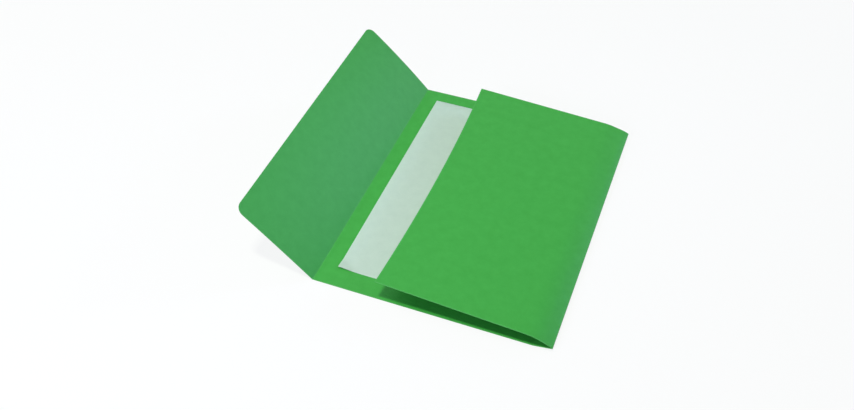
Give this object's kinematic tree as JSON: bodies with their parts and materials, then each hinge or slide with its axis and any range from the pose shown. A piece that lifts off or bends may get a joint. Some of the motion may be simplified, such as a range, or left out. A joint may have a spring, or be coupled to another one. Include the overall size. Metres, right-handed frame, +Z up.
{
  "type": "pocket folder",
  "caption": "Card pocket folder with a cover flap on one long side, an expanding folded spine on the other and a loose sheet in its open-ended pocket.",
  "frame": {"origin": "centre of the back panel's underside, on the table", "axes": "+Z up; +Y along the spine and the flap's crease; +X from the cover flap to the spine"},
  "size_m": [0.3392, 0.3384, 0.0786],
  "materials": {
    "green_card": "matte",
    "white_paper": "matte"
  },
  "bodies": {
    "back": {"back_panel": "green_card", "flap_crease": "green_card", "spine_lower_crease": "green_card"},
    "flap": {"cover_flap": "green_card"},
    "lower_strip": {"spine_lower_strip": "green_card", "spine_fold": "green_card"},
    "upper_strip": {"spine_upper_strip": "green_card", "spine_upper_crease": "green_card"},
    "pocket": {"pocket_panel": "green_card"},
    "sheet": {"document_sheet": "white_paper"}
  },
  "joints": [
    {"name": "cover_flap_turn", "type": "hinge", "parent": "back", "child": "flap", "pos_m": [-0.1204, 0, 0.0005], "axis": [0, 1, 0], "range_deg": [-45, 114.4], "deforming": ["flap_crease"]},
    {"name": "spine_lower_turn", "type": "hinge", "parent": "back", "child": "lower_strip", "pos_m": [0.1204, 0, 0.0005], "axis": [0, 1, 0], "range_deg": [-0.38, 10.5], "deforming": ["spine_lower_crease"]},
    {"name": "pocket_open", "type": "hinge", "parent": "lower_strip", "child": "upper_strip", "pos_m": [0.13982, 0, 0.0041], "axis": [0, 1, 0], "range_deg": [-5, 140.5], "deforming": ["spine_fold"]},
    {"name": "spine_upper_turn", "type": "hinge", "parent": "upper_strip", "child": "pocket", "pos_m": [0.12255, 0, 0.01367], "axis": [0, 1, 0], "range_deg": [-0.88, 24.7], "deforming": ["spine_upper_crease"]},
    {"name": "sheet_slide", "type": "slide", "parent": "back", "child": "sheet", "axis": [0, 1, 0], "range_m": [-0.3213, 0.3142]}
  ],
  "couplings": [
    {"joint": "spine_lower_turn", "follows": "pocket_open", "ratio": 0.074733},
    {"joint": "spine_upper_turn", "follows": "pocket_open", "ratio": 0.1758}
  ]
}
